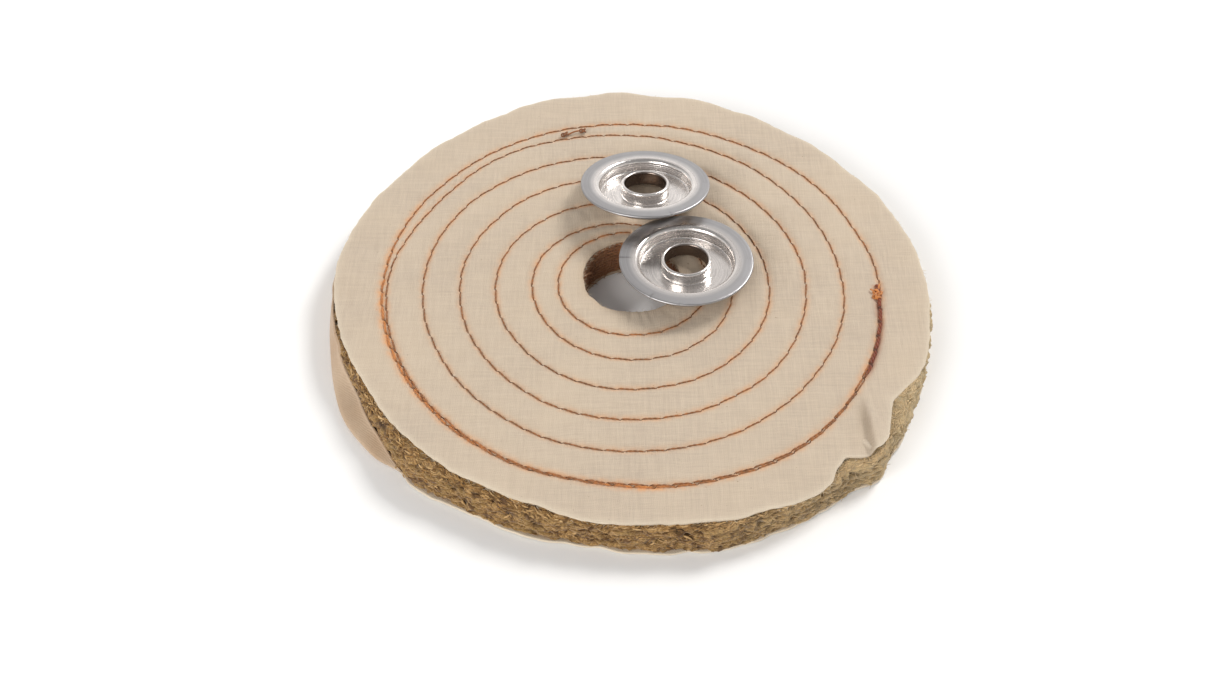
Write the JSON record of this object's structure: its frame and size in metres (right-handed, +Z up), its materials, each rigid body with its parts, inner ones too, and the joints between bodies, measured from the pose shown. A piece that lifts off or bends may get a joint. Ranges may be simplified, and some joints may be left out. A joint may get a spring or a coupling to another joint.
{
  "type": "polishing wheel",
  "caption": "Flat round polishing wheel: felt plies between cotton covers, sewn through in a spiral, with a centre hole and loose pressed metal reducing flanges.",
  "frame": {"origin": "on the wheel's axis, at the underside of the rear cover, which the wheel lies on", "axes": "+Z up along the wheel's axis, from the rear cover to the front cover; -Y towards the viewer of the front"},
  "size_m": [0.178, 0.178, 0.0227],
  "materials": {
    "cotton_cloth": "unbleached plain-weave cotton, matt",
    "felt": "coarse matted fibre felt, frayed at the rim",
    "needle_thread": "waxed twisted thread",
    "bobbin_thread": "waxed twisted thread",
    "flange_metal": "pressed and bright plated, satin rim and brighter bends"
  },
  "bodies": {
    "wheel": {"rear_cover": "cotton_cloth", "core_ply_01": "felt", "core_ply_02": "felt", "core_ply_03": "felt", "core_ply_04": "felt", "core_ply_05": "felt", "core_ply_06": "felt", "core_ply_07": "felt", "core_ply_08": "felt", "core_ply_09": "felt", "core_ply_10": "felt", "front_cover": "cotton_cloth", "needle_thread": "needle_thread", "bobbin_thread": "bobbin_thread"},
    "front_flange": {"front_flange": "flange_metal"},
    "rear_flange": {"rear_flange": "flange_metal"}
  },
  "joints": [
    {"name": "front_flange_lift", "type": "slide", "parent": "wheel", "child": "front_flange", "axis": [0, 0, 1], "range_m": [0, 0.08]},
    {"name": "rear_flange_lift", "type": "slide", "parent": "front_flange", "child": "rear_flange", "axis": [0, 0, 1], "range_m": [0, 0.08]}
  ]
}
